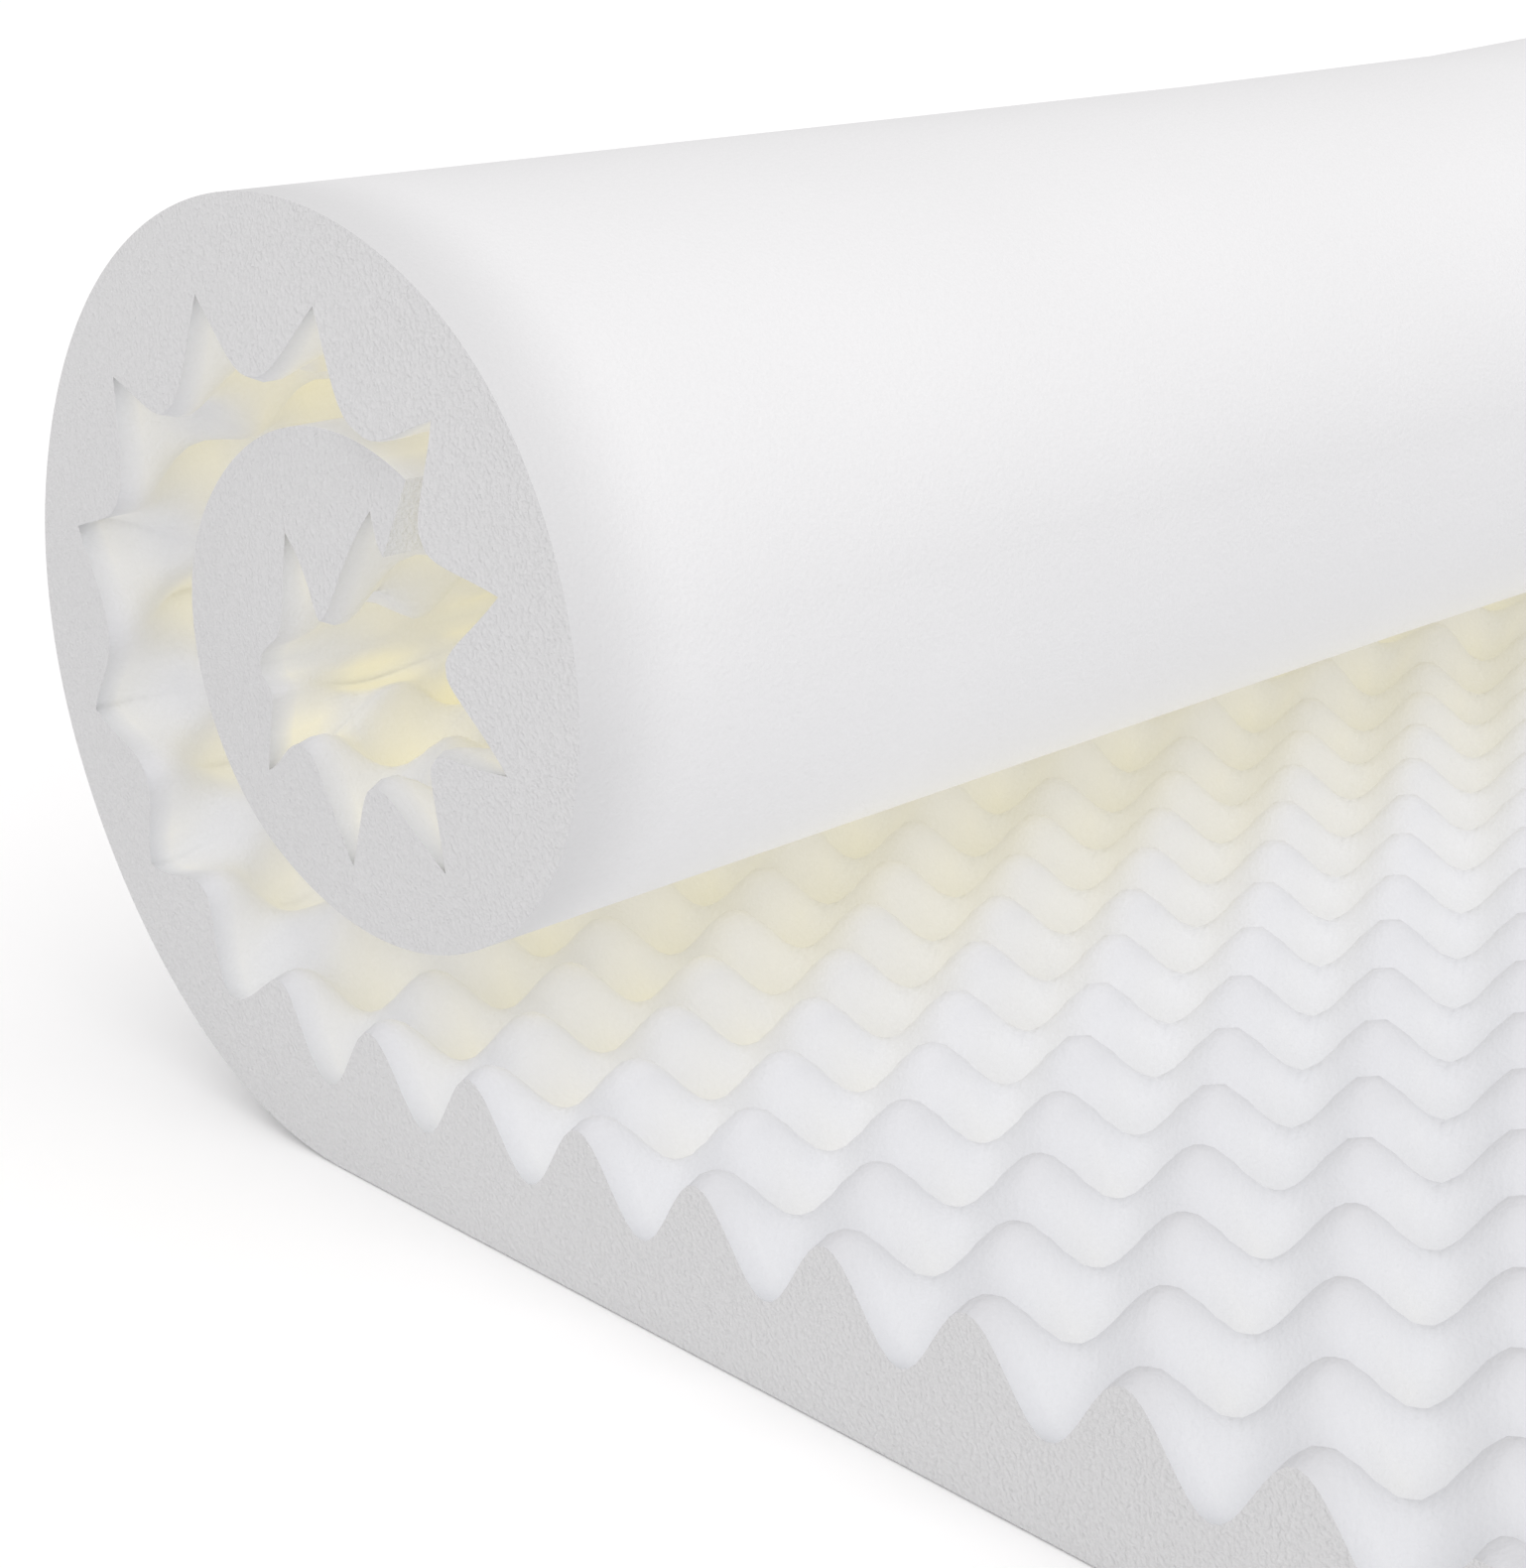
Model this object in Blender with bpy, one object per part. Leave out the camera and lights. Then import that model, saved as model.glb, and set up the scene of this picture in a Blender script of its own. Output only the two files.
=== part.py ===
"""Mattress topper: one slab of soft foam with an egg-crate top, its far end rolled up over itself.

The sheet is worked out flat, as a width, a length along the foam and a depth above the smooth back.
One function then lays each point where it lies: the first part flat on the surface with its bumps up,
the rest wound about one and a half turns with its bumps inward.
Lengths are in metres, +Z is up, and the roll is at the +Y end.
"""

import math
from collections import namedtuple

import bmesh
import bpy
from mathutils import Vector

# The sheet as it is cut
SHEET_WIDTH = 0.900
SHEET_LENGTH = 2.000
THICKNESS = 0.046
BASE_THICKNESS = 0.021

# A step is half of a bump's spacing, from the top of a bump to the valley beside it
STEP_ACROSS = 0.0285
STEPS_ACROSS = SHEET_WIDTH / STEP_ACROSS
STEPS_ALONG = 87
STEP_ALONG = SHEET_LENGTH / STEPS_ALONG
# From the cut side at -X to the first line of bumps, and from each cut end to the row nearest it
SIDE_MARGIN = 0.0053
MARGIN_STEPS = SIDE_MARGIN / STEP_ACROSS
END_MARGIN_STEPS = 0.5

# The roll as arcs of its smooth back, from where it leaves the surface to the sheet's inner end
# turn_deg: how far the arc turns, back_radius: of the smooth back, steps: sheet wound on the arc,
# thickness and base: of the foam at a bump's top and in a valley, where the arc ends
Arc = namedtuple("Arc", "turn_deg back_radius steps thickness base")
ROLL = (
    Arc(35, 0.127, 2.51, 0.047, 0.021),
    Arc(35, 0.144, 3.25, 0.047, 0.021),
    Arc(40, 0.112, 2.30, 0.047, 0.022),
    Arc(40, 0.134, 2.80, 0.049, 0.022),
    Arc(60, 0.146, 4.54, 0.044, 0.019),
    Arc(60, 0.097, 3.51, 0.048, 0.021),
    Arc(60, 0.079, 2.69, 0.045, 0.018),
    Arc(60, 0.105, 4.02, 0.046, 0.014),
    Arc(50, 0.064, 2.40, 0.046, 0.042),
    Arc(50, 0.052, 0.83, 0.046, 0.041),
    Arc(44, 0.083, 1.66, 0.056, 0.016),
    Arc(31, 0.085, 2.06, 0.026, 0.011),
)
ROLLED_STEPS = sum(arc.steps for arc in ROLL)
FLAT_STEPS = STEPS_ALONG - ROLLED_STEPS

# The roll is wound a little tighter at mid-width, about a line this high above the surface
WAIST = 0.118
WAIST_ROUNDING = 0.12
WAIST_HEIGHT = 0.148
# The pressed inner side of the roll is wider than its back by this share, at a bump's full height
SPREAD = 0.0122
# Bumps pressed together keep broad tops and narrow valleys: 1 is an even wave, lower is broader
ROLLED_CREST_POWER = 0.5
# The waist and the spread grow from nothing on the surface to all of their size over this turn
EASE_TURN_DEG = 90.0

# Lines and rows of the egg-crate top: the cut edges, and between them every bump top and valley
COLUMNS = [0.0] + [MARGIN_STEPS + line for line in range(math.floor(STEPS_ACROSS) + 1)] + [STEPS_ACROSS]
ROWS = [0.0] + [END_MARGIN_STEPS + row for row in range(STEPS_ALONG)] + [float(STEPS_ALONG)]
# The smooth back is cut into this many strips across, and at the top's rows along the roll
BACK_STRIPS = 4
BACK_COLUMNS = [STEPS_ACROSS * strip / BACK_STRIPS for strip in range(BACK_STRIPS + 1)]
FIRST_ROLLED_ROW = max(row for row, steps in enumerate(ROWS) if steps <= FLAT_STEPS)

FOAM_COLOUR = (0.86, 0.86, 0.85, 1.0)
FOAM_ROUGHNESS = 0.9
FOAM_METALLIC = 0.0

Station = namedtuple("Station", "y z turn thickness base")


def ease(share):
    """Rises smoothly from 0 to 1."""
    share = min(max(share, 0.0), 1.0)
    return share * share * (3.0 - 2.0 * share)


def station(steps):
    """Where the smooth back lies this many steps from the sheet's outer end, and how thick the foam is."""
    if steps <= FLAT_STEPS:
        return Station(steps * STEP_ALONG, 0.0, 0.0, THICKNESS, BASE_THICKNESS)
    y = FLAT_STEPS * STEP_ALONG
    z = 0.0
    turn = 0.0
    thickness = THICKNESS
    base = BASE_THICKNESS
    left = steps - FLAT_STEPS
    for arc in ROLL:
        share = min(left / arc.steps, 1.0)
        end_turn = turn + math.radians(arc.turn_deg) * share
        y += arc.back_radius * (math.sin(end_turn) - math.sin(turn))
        z += arc.back_radius * (math.cos(turn) - math.cos(end_turn))
        turn = end_turn
        thickness += (arc.thickness - thickness) * share
        base += (arc.base - base) * share
        left -= arc.steps
        if left <= 0.0:
            break
    return Station(y, z, turn, thickness, base)


def waist(across):
    """How much slimmer the roll is at this share of the half width, 0 at the middle and 1 at the ends."""
    full = math.hypot(1.0, WAIST_ROUNDING) - WAIST_ROUNDING
    soft = (math.hypot(across, WAIST_ROUNDING) - WAIST_ROUNDING) / full
    return WAIST * (1.0 - soft)


def lay(steps_across, steps, depth):
    """The place of a point of the sheet: steps across and along it, and its depth above the back."""
    here = station(steps)
    x = (steps_across - STEPS_ACROSS / 2) * STEP_ACROSS
    y = here.y - depth * math.sin(here.turn)
    z = here.z + depth * math.cos(here.turn)
    eased = ease(math.degrees(here.turn) / EASE_TURN_DEG)
    slimmer = waist(abs(x) / (SHEET_WIDTH / 2)) * eased
    y += (FLAT_STEPS * STEP_ALONG - y) * slimmer
    z += (WAIST_HEIGHT - z) * slimmer
    x *= 1.0 + SPREAD * eased * depth / THICKNESS
    return Vector((x, y, z))


def bump_depth(steps_across, steps):
    """Height of the egg-crate top above the back. Every second row has its bumps half a spacing over."""
    here = station(steps)
    power = 1.0 + (ROLLED_CREST_POWER - 1.0) * ease(math.degrees(here.turn) / EASE_TURN_DEG)
    along = math.pi / 2 * (steps + END_MARGIN_STEPS)
    on_bump_line = math.cos(math.pi / 2 * (steps_across - MARGIN_STEPS)) ** 2
    even_row = abs(math.cos(along)) ** (2 * power)
    odd_row = abs(math.sin(along)) ** (2 * power)
    share = even_row * on_bump_line + odd_row * (1.0 - on_bump_line)
    return here.base + (here.thickness - here.base) * share


def add_row(mesh, steps, columns, top):
    """One row of vertices across the sheet, on the egg-crate top or on the smooth back."""
    return [mesh.verts.new(lay(column, steps, bump_depth(column, steps) if top else 0.0)) for column in columns]


def add_top(mesh):
    """The egg-crate top: a vertex on each bump and in each valley, and one on the saddle between."""
    rows = [add_row(mesh, steps, COLUMNS, True) for steps in ROWS]
    for row, (near, far) in enumerate(zip(rows, rows[1:])):
        for column in range(len(COLUMNS) - 1):
            ring = (near[column], near[column + 1], far[column + 1], far[column])
            if 0 < row < len(ROWS) - 2 and 0 < column < len(COLUMNS) - 2:
                across = (COLUMNS[column] + COLUMNS[column + 1]) / 2
                along = (ROWS[row] + ROWS[row + 1]) / 2
                saddle = mesh.verts.new(lay(across, along, bump_depth(across, along)))
                for corner in range(4):
                    mesh.faces.new((ring[corner], ring[(corner + 1) % 4], saddle))
            else:
                mesh.faces.new((ring[0], ring[1], ring[2]))
                mesh.faces.new((ring[0], ring[2], ring[3]))
    return rows


def add_back(mesh):
    """The smooth back: one flat face on the surface, then strips that follow the roll."""
    outer_end = add_row(mesh, 0.0, (0.0, STEPS_ACROSS), False)
    rows = [add_row(mesh, steps, BACK_COLUMNS, False) for steps in ROWS[FIRST_ROLLED_ROW:]]
    mesh.faces.new(outer_end + rows[0][::-1]).normal_flip()
    for near, far in zip(rows, rows[1:]):
        for left, right in zip(range(BACK_STRIPS), range(1, BACK_STRIPS + 1)):
            mesh.faces.new((near[left], far[left], far[right], near[right]))
    return outer_end, rows


def add_sides(mesh, top, outer_end, back):
    """The two cut sides: one flat face beside the surface, then one strip for each step of the roll."""
    for side in (0, -1):
        edge = [row[side] for row in top[: FIRST_ROLLED_ROW + 1]]
        mesh.faces.new([outer_end[side], back[0][side]] + edge[::-1])
        rolled = top[FIRST_ROLLED_ROW:]
        for row in range(len(rolled) - 1):
            mesh.faces.new((back[row][side], back[row + 1][side], rolled[row + 1][side], rolled[row][side]))


def add_ends(mesh, top, outer_end, back):
    """The two cut ends: the flat one, and the inner one in fans from the back to the bumps."""
    mesh.faces.new(outer_end[::-1] + top[0])
    inner_back, inner_top = back[-1], top[-1]
    nearest = [round(column / STEPS_ACROSS * BACK_STRIPS) for column in COLUMNS]
    for column in range(len(COLUMNS) - 1):
        left, right = inner_back[nearest[column]], inner_back[nearest[column + 1]]
        mesh.faces.new((left, inner_top[column], inner_top[column + 1]))
        if left is not right:
            mesh.faces.new((left, inner_top[column + 1], right))


def centre_on_origin(mesh):
    """Moves the sheet so that the middle of its footprint is at the origin."""
    lengths = [vertex.co.y for vertex in mesh.verts]
    middle = (min(lengths) + max(lengths)) / 2
    for vertex in mesh.verts:
        vertex.co.y -= middle


def foam_material():
    material = bpy.data.materials.new("foam")
    material.use_nodes = True
    shader = material.node_tree.nodes["Principled BSDF"]
    shader.inputs["Base Color"].default_value = FOAM_COLOUR
    shader.inputs["Roughness"].default_value = FOAM_ROUGHNESS
    shader.inputs["Metallic"].default_value = FOAM_METALLIC
    return material


def foam_topper():
    """The slab as one closed solid."""
    mesh = bmesh.new()
    top = add_top(mesh)
    outer_end, back = add_back(mesh)
    add_sides(mesh, top, outer_end, back)
    add_ends(mesh, top, outer_end, back)
    bmesh.ops.recalc_face_normals(mesh, faces=mesh.faces)
    centre_on_origin(mesh)
    data = bpy.data.meshes.new("foam_topper")
    mesh.to_mesh(data)
    mesh.free()
    data.materials.append(foam_material())
    topper = bpy.data.objects.new("foam_topper", data)
    bpy.context.collection.objects.link(topper)
    return topper


for old in list(bpy.data.objects):
    bpy.data.objects.remove(old)
foam_topper()
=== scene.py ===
"""Looks of a rolled egg-crate foam mattress topper, laid out as an add-on and run as a script.

The foam is one soft piece. It starts as a flat grid of the size the sheet is cut to, is raised into
bumps, and is then laid where the CAD solid lies: flat at the near end, wound into a roll at the far end.
"""

import math
from collections import namedtuple

import bmesh
import bpy
import numpy as np
from bpy.props import FloatProperty, FloatVectorProperty, IntProperty, PointerProperty
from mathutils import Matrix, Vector
from mathutils.bvhtree import BVHTree


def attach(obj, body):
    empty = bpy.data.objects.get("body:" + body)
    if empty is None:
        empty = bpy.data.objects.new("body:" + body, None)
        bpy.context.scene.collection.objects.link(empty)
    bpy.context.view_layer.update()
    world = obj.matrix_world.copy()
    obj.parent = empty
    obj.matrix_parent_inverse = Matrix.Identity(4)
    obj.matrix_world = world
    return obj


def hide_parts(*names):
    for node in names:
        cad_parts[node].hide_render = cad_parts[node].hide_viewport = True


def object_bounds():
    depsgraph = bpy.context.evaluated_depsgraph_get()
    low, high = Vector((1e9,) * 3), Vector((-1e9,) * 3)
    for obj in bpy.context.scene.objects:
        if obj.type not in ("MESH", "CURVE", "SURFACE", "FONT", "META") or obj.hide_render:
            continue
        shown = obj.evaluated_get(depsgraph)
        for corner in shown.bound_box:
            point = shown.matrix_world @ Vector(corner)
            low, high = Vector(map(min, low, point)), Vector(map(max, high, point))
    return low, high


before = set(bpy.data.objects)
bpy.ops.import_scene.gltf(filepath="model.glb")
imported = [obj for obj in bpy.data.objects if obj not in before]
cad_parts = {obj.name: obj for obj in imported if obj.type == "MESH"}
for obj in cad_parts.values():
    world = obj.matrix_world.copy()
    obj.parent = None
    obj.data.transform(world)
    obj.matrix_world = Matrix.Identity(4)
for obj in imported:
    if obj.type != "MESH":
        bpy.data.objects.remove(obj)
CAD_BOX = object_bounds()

bl_info = {
    "name": "Foam topper",
    "version": (1, 0, 0),
    "blender": (4, 5, 0),
    "location": "3D View > Sidebar > Topper",
    "description": "Builds a rolled egg-crate foam mattress topper with its studio",
    "category": "Add Mesh",
}

CAD_NODE = "foam_topper"

# The roll as arcs of its smooth back, from where it leaves the surface to the sheet's inner end
# turn_deg: how far the arc turns, back_radius: of the smooth back, steps: sheet wound on the arc,
# thickness and base: of the foam at a bump's top and in a valley, where the arc ends
Arc = namedtuple("Arc", "turn_deg back_radius steps thickness base")
ROLL = (
    Arc(35, 0.127, 2.51, 0.047, 0.021),
    Arc(35, 0.144, 3.25, 0.047, 0.021),
    Arc(40, 0.112, 2.30, 0.047, 0.022),
    Arc(40, 0.134, 2.80, 0.049, 0.022),
    Arc(60, 0.146, 4.54, 0.044, 0.019),
    Arc(60, 0.097, 3.51, 0.048, 0.021),
    Arc(60, 0.079, 2.69, 0.045, 0.018),
    Arc(60, 0.105, 4.02, 0.046, 0.014),
    Arc(50, 0.064, 2.40, 0.046, 0.042),
    Arc(50, 0.052, 0.83, 0.046, 0.041),
    Arc(44, 0.083, 1.66, 0.056, 0.016),
    Arc(31, 0.085, 2.06, 0.026, 0.011),
)
ROLLED_STEPS = sum(arc.steps for arc in ROLL)

# The roll is wound a little tighter at mid-width, about a line this high above the surface
WAIST = 0.118
WAIST_ROUNDING = 0.12
WAIST_HEIGHT = 0.148
# The pressed inner side of the roll is wider than its back by this share, at a bump's full height
SPREAD = 0.0122
# Bumps pressed together keep broad tops and narrow valleys: 1 is an even wave, lower is broader
ROLLED_CREST_POWER = 0.5
# The waist and the spread grow from nothing on the surface to all of their size over this turn
EASE_TURN_DEG = 90.0

# From each cut end to the row of bumps nearest it
END_MARGIN_STEPS = 0.5

# Mesh divisions of one step, finer where the sheet is rolled and near the cut side that the camera sees
# end: share of the sheet's width or length where the run ends, divisions: of each step
Density = namedtuple("Density", "end divisions")
ACROSS = (Density(0.13, 8), Density(0.70, 6), Density(1.0, 4))
ALONG = (Density(0.437, 3), Density(1.0, 8))
BACK_DIVISIONS = 8

# How shut in a point of the foam is, as an attribute that sets the painted glow: rays cast from it that meet
# foam within the reach count by how near they meet it, and the shares from open to shut become 0 to 1
NOOK = "nook"
NOOK_RAYS = 96
NOOK_REACH = 0.20
NOOK_START = 0.004
NOOK_OPEN = 0.02
NOOK_SHUT = 0.80
# Rays nearer to the surface than this are left out, as a share of a ray's length
NOOK_GRAZING = 0.05

# How strong and how warm the painted glow in a nook is grow with these powers of how shut in it is
GLOW_POWER = 0.6
WARM_POWER = 2.2
# From 0 on the top of a bump to 1 in a valley, as an attribute, and how soon the painted shade on the top
# gives way
VALLEY = "valley"
CREST_POWER = 0.35
# Foam cells, and the broad unevenness of the foam's tone with its darkest tone, sizes in metres
# Real cells are about half a millimetre wide, and are drawn coarser so that they show
CELL_SIZE = 0.0012
CLOUD_SIZE = 0.08
CLOUD_TONE = 0.985
# Noise values between these are spread over the whole range
NOISE_LOW = 0.3
NOISE_HIGH = 0.7
# The back turns to the tone of the cut over this width beside each cut side, as painted shade of a rounded
# edge
EDGE_SHADE_BAND = 0.035

# The foam's four finishes, in the order of the mesh's material slots
# The contour cut leaves soft, even bumps; the saw opens the cells of the sides and ends, so they look
# rougher;
# the sides are painted darker, as painted shade, and the bumps a little darker than the smooth back, the
# lightest
# colour, crest_colour and edge_colour: names of the colours of the surface, of the painted shade on
# the tops of its bumps and of the painted shade beside the cut sides, cell_tone: of the darkest cells,
# cell_depth: in metres, glows: whether its nooks get a painted glow
Finish = namedtuple("Finish", "name colour crest_colour edge_colour cell_tone cell_depth glows")
FINISHES = (
    Finish("foam_contour_cut", "top_colour", "crest_colour", None, 0.985, 0.00008, True),
    Finish("foam_sawn_side", "cut_colour", "cut_colour", None, 0.96, 0.0003, False),
    Finish("foam_sliced_back", "back_colour", "back_colour", "cut_colour", 0.985, 0.00006, True),
    Finish("foam_sawn_inner_end", "top_colour", "cut_colour", None, 0.94, 0.0003, True),
)
TOP, SIDE, BACK, INNER_END = range(len(FINISHES))

# Numbers of the colour mix node's sockets, whose names it also gives to its other kinds of value
MIX_SHARE, MIX_FIRST, MIX_SECOND, MIX_RESULT = 0, 6, 7, 2

# Camera, in metres from where the foam leaves the surface, and in degrees
CAMERA_PLACE = Vector((-0.8680, -0.7376, 0.3580))
CAMERA_TURN_DEG = (72.828, 3.370, -38.581)
CAMERA_LENS_MM = 78.51

# The floor reaches past the horizon of every view, and lies just under the foam
FLOOR_SIZE = 200.0
FLOOR_HEIGHT = -0.0005

# Large soft lights far away: a place on the line that each shines along, and how widely it spreads
OVERHEAD_PLACE = Vector((-1.05, -1.75, 2.25))
FRONT_PLACE = Vector((-0.40, -3.00, 0.20))
SOFTBOX_SPREAD_DEG = 90.0


def linear(hex_colour):
    """An sRGB hex colour as linear red, green, blue and alpha."""
    values = [int(hex_colour[i : i + 2], 16) / 255 for i in (0, 2, 4)]
    return [v / 12.92 if v <= 0.04045 else ((v + 0.055) / 1.055) ** 2.4 for v in values] + [1.0]


class TopperSettings(bpy.types.PropertyGroup):
    """Sizes and colours of the foam."""

    width: FloatProperty(
        name="Width", description="Cut width of the sheet", default=0.9, unit="LENGTH"
    )
    length: FloatProperty(
        name="Length", description="Cut length of the sheet", default=2.0, unit="LENGTH"
    )
    thickness: FloatProperty(
        name="Thickness", description="Thickness at the top of a bump", default=0.046, unit="LENGTH"
    )
    base: FloatProperty(
        name="Base", description="Thickness at the bottom of a valley", default=0.021, unit="LENGTH"
    )
    spacing_across: FloatProperty(
        name="Spacing across",
        description="From bump to bump across the width",
        default=0.057,
        unit="LENGTH",
    )
    steps_along: IntProperty(
        name="Steps along",
        description="Half spacings of the bumps along the length",
        default=87,
        min=40,
    )
    margin: FloatProperty(
        name="Margin",
        description="From the cut side that the camera sees to the first line of bumps",
        default=0.0053,
        unit="LENGTH",
    )
    top_colour: FloatVectorProperty(
        name="Bumps",
        description="Colour of the egg-crate top",
        size=4,
        subtype="COLOR",
        default=linear("cecfd2"),
    )
    # The tops of the bumps are painted darker than the rest of the top, as painted shade
    crest_colour: FloatVectorProperty(
        name="Bump tops",
        description="Colour of the tops of the bumps",
        size=4,
        subtype="COLOR",
        default=linear("c7c7ca"),
    )
    # The cut sides are painted darker than the back, as painted shade
    cut_colour: FloatVectorProperty(
        name="Cut sides",
        description="Colour of the cut sides",
        size=4,
        subtype="COLOR",
        default=linear("d0d0d1"),
    )
    back_colour: FloatVectorProperty(
        name="Back",
        description="Colour of the smooth back",
        size=4,
        subtype="COLOR",
        default=linear("e0e0e1"),
    )
    # The warm colour of the painted glow in the nooks
    nook_colour: FloatVectorProperty(
        name="Nooks",
        description="Warmer colour of the light deep between bumps",
        size=4,
        subtype="COLOR",
        default=linear("f1e6b5"),
    )
    # Strength of the painted glow in the nooks, light that no lamp casts
    glow: FloatProperty(
        name="Soaked light",
        description="Strength of the light that soft foam passes on into its nooks",
        default=0.39,
        min=0.0,
    )


class StageSettings(bpy.types.PropertyGroup):
    """Floor, lights and camera."""

    floor_colour: FloatVectorProperty(
        name="Floor",
        description="Colour of the floor",
        size=4,
        subtype="COLOR",
        default=linear("fcfcfc"),
    )
    light_colour: FloatVectorProperty(
        name="Light",
        description="Colour of the lights and the surroundings",
        size=4,
        subtype="COLOR",
        default=linear("fefdfd"),
    )
    key_power: FloatProperty(
        name="Overhead light", description="Strength of the overhead light", default=1.42, min=0.0
    )
    fill_power: FloatProperty(
        name="Front light", description="Strength of the low front light", default=0.35, min=0.0
    )
    world_strength: FloatProperty(
        name="Surroundings",
        description="Strength of the white surroundings",
        default=0.735,
        min=0.0,
    )
    lens: FloatProperty(
        name="Lens", description="Focal length in millimetres", default=CAMERA_LENS_MM, min=10.0
    )


class Sheet:
    """The flat sheet's steps, and where each of its points lies once the sheet is laid and rolled."""

    def __init__(self, settings):
        self.width = settings.width
        self.thickness = settings.thickness
        self.base = settings.base
        self.step_across = settings.spacing_across / 2
        self.steps_across = settings.width / self.step_across
        self.margin_steps = settings.margin / self.step_across
        self.steps_along = settings.steps_along
        self.step_along = settings.length / self.steps_along
        self.flat_steps = self.steps_along - ROLLED_STEPS
        self.roll_start = CAD_BOX[0].y + self.flat_steps * self.step_along

    def stations(self, steps):
        """For each step along the sheet: y, z and turn of the back, thickness and base of the foam."""
        found = np.empty((len(steps), 5))
        for row, step in enumerate(steps):
            y, z, turn = self.roll_start, 0.0, 0.0
            thickness, base = self.thickness, self.base
            left = step - self.flat_steps
            if left <= 0.0:
                y += left * self.step_along
            else:
                for arc in ROLL:
                    share = min(left / arc.steps, 1.0)
                    end_turn = turn + math.radians(arc.turn_deg) * share
                    y += arc.back_radius * (math.sin(end_turn) - math.sin(turn))
                    z += arc.back_radius * (math.cos(turn) - math.cos(end_turn))
                    turn = end_turn
                    thickness += (arc.thickness - thickness) * share
                    base += (arc.base - base) * share
                    left -= arc.steps
                    if left <= 0.0:
                        break
            found[row] = y, z, turn, thickness, base
        return found

    def bump_depths(self, across, along, stations):
        """The share of a bump's height at each row and column, and the height there above the back."""
        power = 1.0 + (ROLLED_CREST_POWER - 1.0) * self.eased(stations)
        rows = math.pi / 2 * (along + END_MARGIN_STEPS)
        even_row = np.abs(np.cos(rows)) ** (2 * power)
        odd_row = np.abs(np.sin(rows)) ** (2 * power)
        on_bump_line = np.cos(math.pi / 2 * (across - self.margin_steps)) ** 2
        share = even_row[:, None] * on_bump_line + odd_row[:, None] * (1.0 - on_bump_line)
        return share, stations[:, 4:5] + (stations[:, 3:4] - stations[:, 4:5]) * share

    @staticmethod
    def eased(stations):
        """Rises smoothly from 0 on the surface to 1 where the sheet has turned far enough."""
        share = np.clip(np.degrees(stations[:, 2]) / EASE_TURN_DEG, 0.0, 1.0)
        return share * share * (3.0 - 2.0 * share)

    def lay(self, across, stations, depths):
        """Places of the points of the sheet at these columns, stations and depths above the back."""
        x = np.broadcast_to((across - self.steps_across / 2) * self.step_across, depths.shape)
        y = stations[:, 0:1] - depths * np.sin(stations[:, 2:3])
        z = stations[:, 1:2] + depths * np.cos(stations[:, 2:3])
        eased = self.eased(stations)[:, None]
        full = math.hypot(1.0, WAIST_ROUNDING) - WAIST_ROUNDING
        soft = (np.hypot(x / (self.width / 2), WAIST_ROUNDING) - WAIST_ROUNDING) / full
        slimmer = WAIST * (1.0 - soft) * eased
        y = y + (self.roll_start - y) * slimmer
        z = z + (WAIST_HEIGHT - z) * slimmer
        x = x * (1.0 + SPREAD * eased * depths / self.thickness)
        return np.stack((x, y, z), axis=-1)


def divided(densities, steps):
    """Positions along the sheet, in steps, with each run of steps divided as its row says."""
    marks = [np.zeros(1)]
    start = 0.0
    for run in densities:
        end = steps if run.end == 1.0 else round(run.end * steps)
        count = round((end - start) * run.divisions)
        marks.append(start + (end - start) * np.arange(1, count + 1) / count)
        start = end
    return np.concatenate(marks)


def deselect_all():
    if bpy.context.object and bpy.context.object.mode != "OBJECT":
        bpy.ops.object.mode_set(mode="OBJECT")
    bpy.ops.object.select_all(action="DESELECT")


def add_node(tree, kind, settings, inputs, output=0):
    """Adds a node with its settings, gives each input a value or a link, and returns one output."""
    node = tree.nodes.new(kind)
    for name, value in settings.items():
        setattr(node, name, value)
    for key, value in inputs.items():
        if isinstance(value, bpy.types.NodeSocket):
            tree.links.new(value, node.inputs[key])
        else:
            node.inputs[key].default_value = value
    return node.outputs[output]


def start_material(name, constants):
    """A new material of one Principled BSDF, with these constants set on its own sockets."""
    material = bpy.data.materials.new(name)
    material.use_nodes = True
    shader = material.node_tree.nodes["Principled BSDF"]
    for key, value in constants.items():
        shader.inputs[key].default_value = value
    return material, material.node_tree, shader


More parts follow.
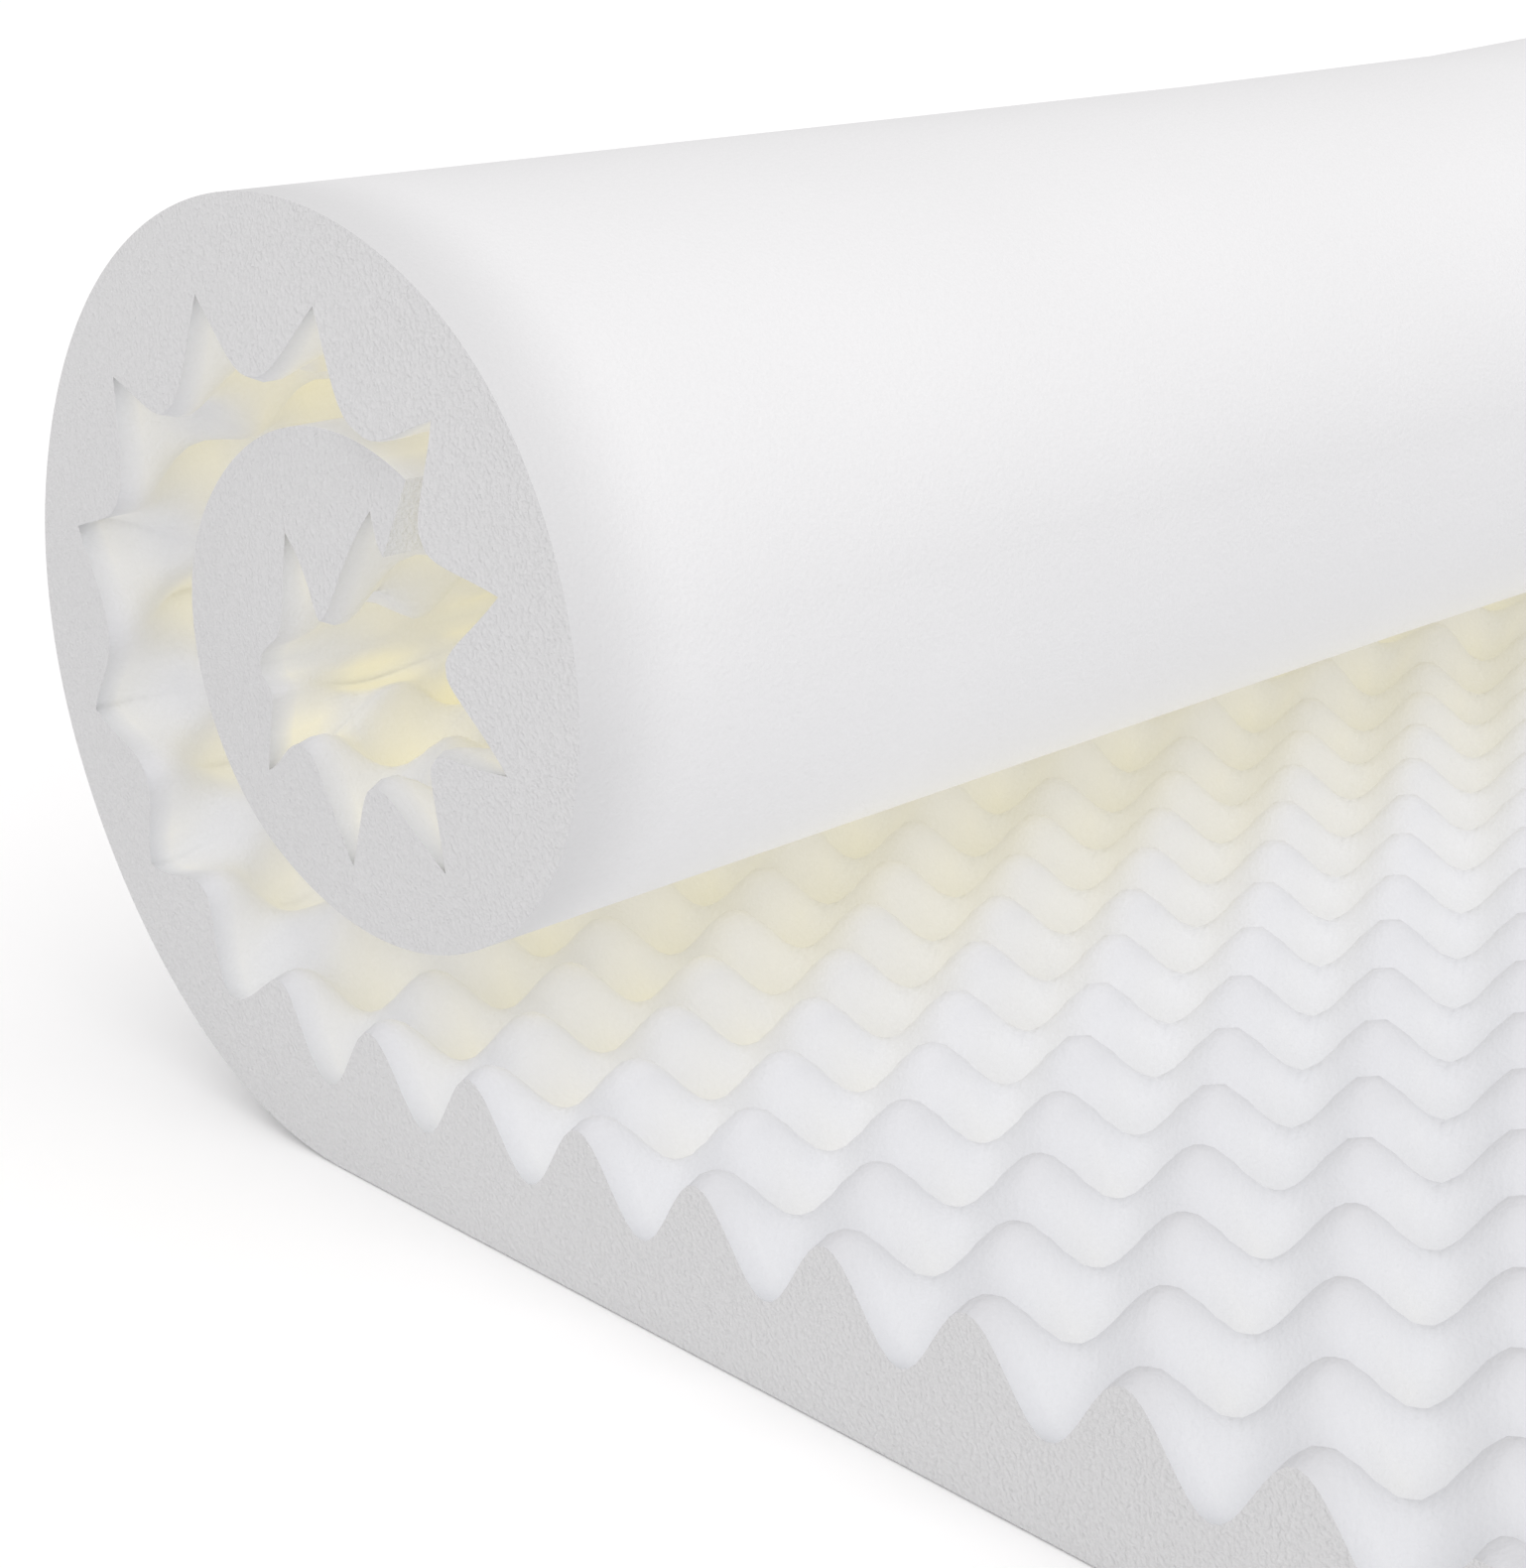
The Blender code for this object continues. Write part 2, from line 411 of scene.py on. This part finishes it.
def foam_material(finish, settings):
    """Open-cell polyurethane foam, cut and without a skin: matt, with a fine grain of cells.

    Its nooks get a painted glow, warmer the more shut in they are, and the tops of its bumps are painted
    darker, as painted shade. Where the finish names an edge shade colour, it turns to that colour beside the
    two cut sides, as painted shade of a rounded edge.
    """
    material, tree, shader = start_material(
        finish.name,
        {
            "Roughness": 0.95,
            "Specular IOR Level": 0.25,
            "Sheen Weight": 0.1,
            "Sheen Roughness": 0.6,
            "Emission Strength": 1.0 if finish.glows else 0.0,
        },
    )
    colour = getattr(settings, finish.colour)
    place = add_node(tree, "ShaderNodeTexCoord", {}, {}, "Object")

    # Painted shade: the tops of the bumps take the darker crest colour
    valley = add_node(tree, "ShaderNodeAttribute", {"attribute_name": VALLEY}, {}, "Fac")
    off_crest = add_node(tree, "ShaderNodeMath", {"operation": "POWER"}, {0: valley, 1: CREST_POWER})
    body = add_node(
        tree,
        "ShaderNodeMix",
        {"data_type": "RGBA"},
        {MIX_SHARE: off_crest, MIX_FIRST: getattr(settings, finish.crest_colour), MIX_SECOND: colour},
        MIX_RESULT,
    )
    # Painted shade: beside each cut side the colour turns to the cut's tone, as a rounded edge would shade
    if finish.edge_colour:
        across = add_node(tree, "ShaderNodeSeparateXYZ", {}, {"Vector": place}, "X")
        off_middle = add_node(tree, "ShaderNodeMath", {"operation": "ABSOLUTE"}, {0: across})
        half_width = settings.width / 2
        edge_shade_share = add_node(
            tree,
            "ShaderNodeMapRange",
            {"interpolation_type": "SMOOTHSTEP"},
            {"Value": off_middle, "From Min": half_width - EDGE_SHADE_BAND, "From Max": half_width},
        )
        body = add_node(
            tree,
            "ShaderNodeMix",
            {"data_type": "RGBA"},
            {MIX_SHARE: edge_shade_share, MIX_FIRST: body, MIX_SECOND: getattr(settings, finish.edge_colour)},
            MIX_RESULT,
        )

    fields = []
    for size, low in ((CELL_SIZE, 0.0), (CLOUD_SIZE, CLOUD_TONE)):
        field = add_node(
            tree, "ShaderNodeTexNoise", {}, {"Vector": place, "Scale": 1.0 / size, "Detail": 1.0}, "Fac"
        )
        spread = {"Value": field, "From Min": NOISE_LOW, "From Max": NOISE_HIGH, "To Min": low}
        fields.append(add_node(tree, "ShaderNodeMapRange", {}, spread))
    cells, clouds = fields
    grain = add_node(
        tree,
        "ShaderNodeMath",
        {"operation": "MULTIPLY_ADD"},
        {0: cells, 1: 1.0 - finish.cell_tone, 2: finish.cell_tone},
    )
    tone = add_node(tree, "ShaderNodeMath", {"operation": "MULTIPLY"}, {0: grain, 1: clouds})
    shade = add_node(tree, "ShaderNodeVectorMath", {"operation": "SCALE"}, {0: body, "Scale": tone})
    tree.links.new(shade, shader.inputs["Base Color"])
    relief = add_node(
        tree, "ShaderNodeBump", {}, {"Height": cells, "Distance": finish.cell_depth}, "Normal"
    )
    tree.links.new(relief, shader.inputs["Normal"])

    # Painted glow: the nooks give off light of their own, warmer the more shut in they are
    if finish.glows:
        nook = add_node(tree, "ShaderNodeAttribute", {"attribute_name": NOOK}, {}, "Fac")
        strength = add_node(tree, "ShaderNodeMath", {"operation": "POWER"}, {0: nook, 1: GLOW_POWER})
        amount = add_node(
            tree, "ShaderNodeMath", {"operation": "MULTIPLY"}, {0: strength, 1: settings.glow}
        )
        warmth = add_node(tree, "ShaderNodeMath", {"operation": "POWER"}, {0: nook, 1: WARM_POWER})
        light = add_node(
            tree,
            "ShaderNodeMix",
            {"data_type": "RGBA"},
            {MIX_SHARE: warmth, MIX_FIRST: colour, MIX_SECOND: settings.nook_colour},
            MIX_RESULT,
        )
        glow = add_node(
            tree, "ShaderNodeVectorMath", {"operation": "SCALE"}, {0: light, "Scale": amount}
        )
        tree.links.new(glow, shader.inputs["Emission Color"])
        # The glow is weak and spread over the whole foam, so rays find it without it being sampled as a lamp
        material.cycles.emission_sampling = "NONE"
    return material


def floor_material(colour):
    """Matt white paint, with no gloss that would show where the lights stand."""
    return start_material(
        "studio_floor_matt_paint",
        {"Base Color": colour, "Roughness": 0.9, "Specular IOR Level": 0.0},
    )[0]


class OBJECT_OT_foam_topper(bpy.types.Operator):
    """Builds the foam sheet, lays it flat, rolls its far end and gives it its foam finishes."""

    bl_idname = "object.foam_topper"
    bl_label = "Foam topper"

    def execute(self, context):
        settings = context.scene.topper
        sheet = Sheet(settings)
        across, along = divided(ACROSS, sheet.steps_across), divided(ALONG, sheet.steps_along)
        back_across = np.linspace(0.0, sheet.steps_across, BACK_DIVISIONS + 1)
        stations = sheet.stations(along)
        heights, depths = sheet.bump_depths(across, along, stations)
        top = sheet.lay(across, stations, depths)
        back = sheet.lay(back_across, stations, np.zeros((len(along), len(back_across))))
        piece = self.sheet_mesh(top, back, across, back_across)
        self.write_nooks(piece, top.shape[:2], back.shape[:2])
        valleys = np.concatenate((1.0 - heights.ravel(), np.zeros(back.shape[0] * back.shape[1])))
        piece.data.attributes.new(VALLEY, "FLOAT", "POINT").data.foreach_set("value", valleys)
        self.finish_piece(piece, settings)
        return {"FINISHED"}

    def sheet_mesh(self, top, back, across, back_across):
        """The closed slab: bumps, back, two cut sides and two cut ends, each with its own finish."""
        rows, columns = top.shape[:2]
        back_columns = back.shape[1]
        points = np.concatenate((top.reshape(-1, 3), back.reshape(-1, 3)))
        t = np.arange(rows * columns).reshape(rows, columns)
        b = rows * columns + np.arange(rows * back_columns).reshape(rows, back_columns)
        faces, finishes = [], []

        def add_quads(near_left, near_right, far_right, far_left, finish):
            quads = np.stack((near_left, near_right, far_right, far_left), axis=-1).reshape(-1, 4)
            faces.extend(quads.tolist())
            finishes.extend([finish] * len(quads))

        add_quads(t[:-1, :-1], t[:-1, 1:], t[1:, 1:], t[1:, :-1], TOP)
        add_quads(b[:-1, :-1], b[1:, :-1], b[1:, 1:], b[:-1, 1:], BACK)
        add_quads(b[:-1, 0], t[:-1, 0], t[1:, 0], b[1:, 0], SIDE)
        add_quads(t[:-1, -1], b[:-1, -1], b[1:, -1], t[1:, -1], SIDE)
        for row, flip, finish in ((0, False, SIDE), (rows - 1, True, INNER_END)):
            for face in self.end_fans(t[row], b[row], across, back_across):
                faces.append(face[::-1] if flip else face)
                finishes.append(finish)
        data = bpy.data.meshes.new("foam_sheet")
        data.from_pydata(points.tolist(), [], faces)
        data.polygons.foreach_set("material_index", finishes)
        data.update()
        piece = bpy.data.objects.new("foam_sheet", data)
        bpy.context.collection.objects.link(piece)
        return piece

    @staticmethod
    def end_fans(top_row, back_row, across, back_across):
        """Faces of a cut end, in fans from the back's few points to the many along the bumps."""
        faces = []
        nearest = np.abs(across[:, None] - back_across[None, :]).argmin(axis=1)
        for column in range(len(across) - 1):
            here, there = nearest[column], nearest[column + 1]
            faces.append([int(back_row[here]), int(top_row[column + 1]), int(top_row[column])])
            if there != here:
                faces.append([int(back_row[here]), int(back_row[there]), int(top_row[column + 1])])
        return faces

    def finish_piece(self, piece, settings):
        data = piece.data
        for face in data.polygons:
            face.use_smooth = True
        shape = bmesh.new()
        shape.from_mesh(data)
        for edge in shape.edges:
            if len({face.material_index for face in edge.link_faces}) > 1:
                edge.smooth = False
        shape.to_mesh(data)
        shape.free()
        for finish in FINISHES:
            data.materials.append(foam_material(finish, settings))
        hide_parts(CAD_NODE)
        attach(piece, "root")

    def write_nooks(self, piece, top_shape, back_shape):
        """How shut in each point sits between bumps or turns, as an attribute from 0 to 1."""
        data = piece.data
        places, normals = np.empty((2, len(data.vertices) * 3), dtype=np.float32)
        data.vertices.foreach_get("co", places)
        data.vertex_normals.foreach_get("vector", normals)
        tree = BVHTree.FromPolygons(places.reshape(-1, 3), [face.vertices for face in data.polygons])
        values = []
        first = 0
        for (rows, columns), every in ((top_shape, 2), (back_shape, 1)):
            block = slice(3 * first, 3 * (first + rows * columns))
            first += rows * columns
            lines = np.unique(np.append(np.arange(0, rows, 2), rows - 1))
            across = np.unique(np.append(np.arange(0, columns, every), columns - 1))
            picked = np.ix_(lines, across)
            found = self.shut_in(
                tree,
                places[block].reshape(rows, columns, 3)[picked],
                normals[block].reshape(rows, columns, 3)[picked],
            )
            found = np.array([np.interp(np.arange(columns), across, line) for line in found])
            found = np.array([np.interp(np.arange(rows), lines, line) for line in found.T]).T
            values.append(found.ravel())
        share = np.clip((np.concatenate(values) - NOOK_OPEN) / (NOOK_SHUT - NOOK_OPEN), 0.0, 1.0)
        data.attributes.new(NOOK, "FLOAT", "POINT").data.foreach_set("value", share)

    @staticmethod
    def shut_in(tree, places, normals):
        """For each row and column of places, the share of evenly spread rays that meet foam near by."""
        turns = math.pi * (3.0 - math.sqrt(5.0)) * np.arange(NOOK_RAYS)
        heights = 1.0 - (2.0 * np.arange(NOOK_RAYS) + 1.0) / NOOK_RAYS
        rings = np.sqrt(1.0 - heights * heights)
        rays = np.stack((rings * np.cos(turns), rings * np.sin(turns), heights), axis=1)
        found = np.empty(places.shape[:2])
        for at in np.ndindex(found.shape):
            facing = rays @ normals[at]
            ahead = rays[facing > NOOK_GRAZING]
            weights = facing[facing > NOOK_GRAZING]
            start = Vector(places[at] + normals[at] * NOOK_START)
            reached = [tree.ray_cast(start, Vector(ray), NOOK_REACH)[3] for ray in ahead]
            nearness = [0.0 if far is None else 1.0 - far / NOOK_REACH for far in reached]
            found[at] = np.dot(weights, nearness) / weights.sum()
        return found


class OBJECT_OT_topper_stage(bpy.types.Operator):
    """Adds the white floor, the white surroundings, two large soft lights and the camera."""

    bl_idname = "object.topper_stage"
    bl_label = "Stage"

    def execute(self, context):
        settings = context.scene.topper_stage
        self.add_floor(settings)
        self.add_lights(context, settings)
        self.add_camera(context, settings)
        return {"FINISHED"}

    @staticmethod
    def add_floor(settings):
        deselect_all()
        bpy.ops.mesh.primitive_plane_add(size=FLOOR_SIZE, location=(0.0, 0.0, FLOOR_HEIGHT))
        floor = bpy.context.object
        floor.name = "studio_floor"
        bpy.ops.object.transform_apply(location=True, rotation=True, scale=True)
        floor.data.materials.append(floor_material(settings.floor_colour))

    @staticmethod
    def add_lights(context, settings):
        world = bpy.data.worlds.new("white_studio")
        world.use_nodes = True
        background = world.node_tree.nodes["Background"]
        background.inputs["Color"].default_value = settings.light_colour
        background.inputs["Strength"].default_value = settings.world_strength
        context.scene.world = world
        context.scene.view_settings.view_transform = "Standard"
        for name, power, place in (
            ("overhead_softbox", settings.key_power, OVERHEAD_PLACE),
            ("front_softbox", settings.fill_power, FRONT_PLACE),
        ):
            deselect_all()
            bpy.ops.object.light_add(type="SUN", location=place)
            light = bpy.context.object
            light.name = name
            light.data.energy = power
            light.data.color = settings.light_colour[:3]
            light.data.angle = math.radians(SOFTBOX_SPREAD_DEG)
            light.rotation_euler = (-place).to_track_quat("-Z", "Y").to_euler()

    @staticmethod
    def add_camera(context, settings):
        deselect_all()
        turn = [math.radians(angle) for angle in CAMERA_TURN_DEG]
        roll_start = Vector((0.0, Sheet(context.scene.topper).roll_start, 0.0))
        bpy.ops.object.camera_add(location=CAMERA_PLACE + roll_start, rotation=turn)
        camera = bpy.context.object
        camera.name = "studio_camera"
        camera.data.lens = settings.lens
        camera.data.sensor_fit = "AUTO"
        camera.data.sensor_width = 36.0
        camera.data.clip_start = 0.01
        camera.data.clip_end = 2.0 * FLOOR_SIZE
        context.scene.camera = camera


class VIEW3D_PT_topper(bpy.types.Panel):
    """Foam topper settings and the buttons that build it."""

    bl_label = "Foam topper"
    bl_idname = "VIEW3D_PT_topper"
    bl_space_type = "VIEW_3D"
    bl_region_type = "UI"
    bl_category = "Topper"

    def draw(self, context):
        for group, operator in (
            (context.scene.topper, "object.foam_topper"),
            (context.scene.topper_stage, "object.topper_stage"),
        ):
            box = self.layout.box()
            for name in group.__annotations__:
                box.prop(group, name)
            box.operator(operator)


CLASSES = (
    TopperSettings,
    StageSettings,
    OBJECT_OT_foam_topper,
    OBJECT_OT_topper_stage,
    VIEW3D_PT_topper,
)


def register():
    for cls in CLASSES:
        bpy.utils.register_class(cls)
    bpy.types.Scene.topper = PointerProperty(type=TopperSettings)
    bpy.types.Scene.topper_stage = PointerProperty(type=StageSettings)


def unregister():
    del bpy.types.Scene.topper_stage
    del bpy.types.Scene.topper
    for cls in reversed(CLASSES):
        bpy.utils.unregister_class(cls)


def main():
    """Registers the classes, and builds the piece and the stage."""
    register()
    bpy.ops.object.topper_stage()
    bpy.ops.object.foam_topper()


if __name__ == "__main__":
    main()
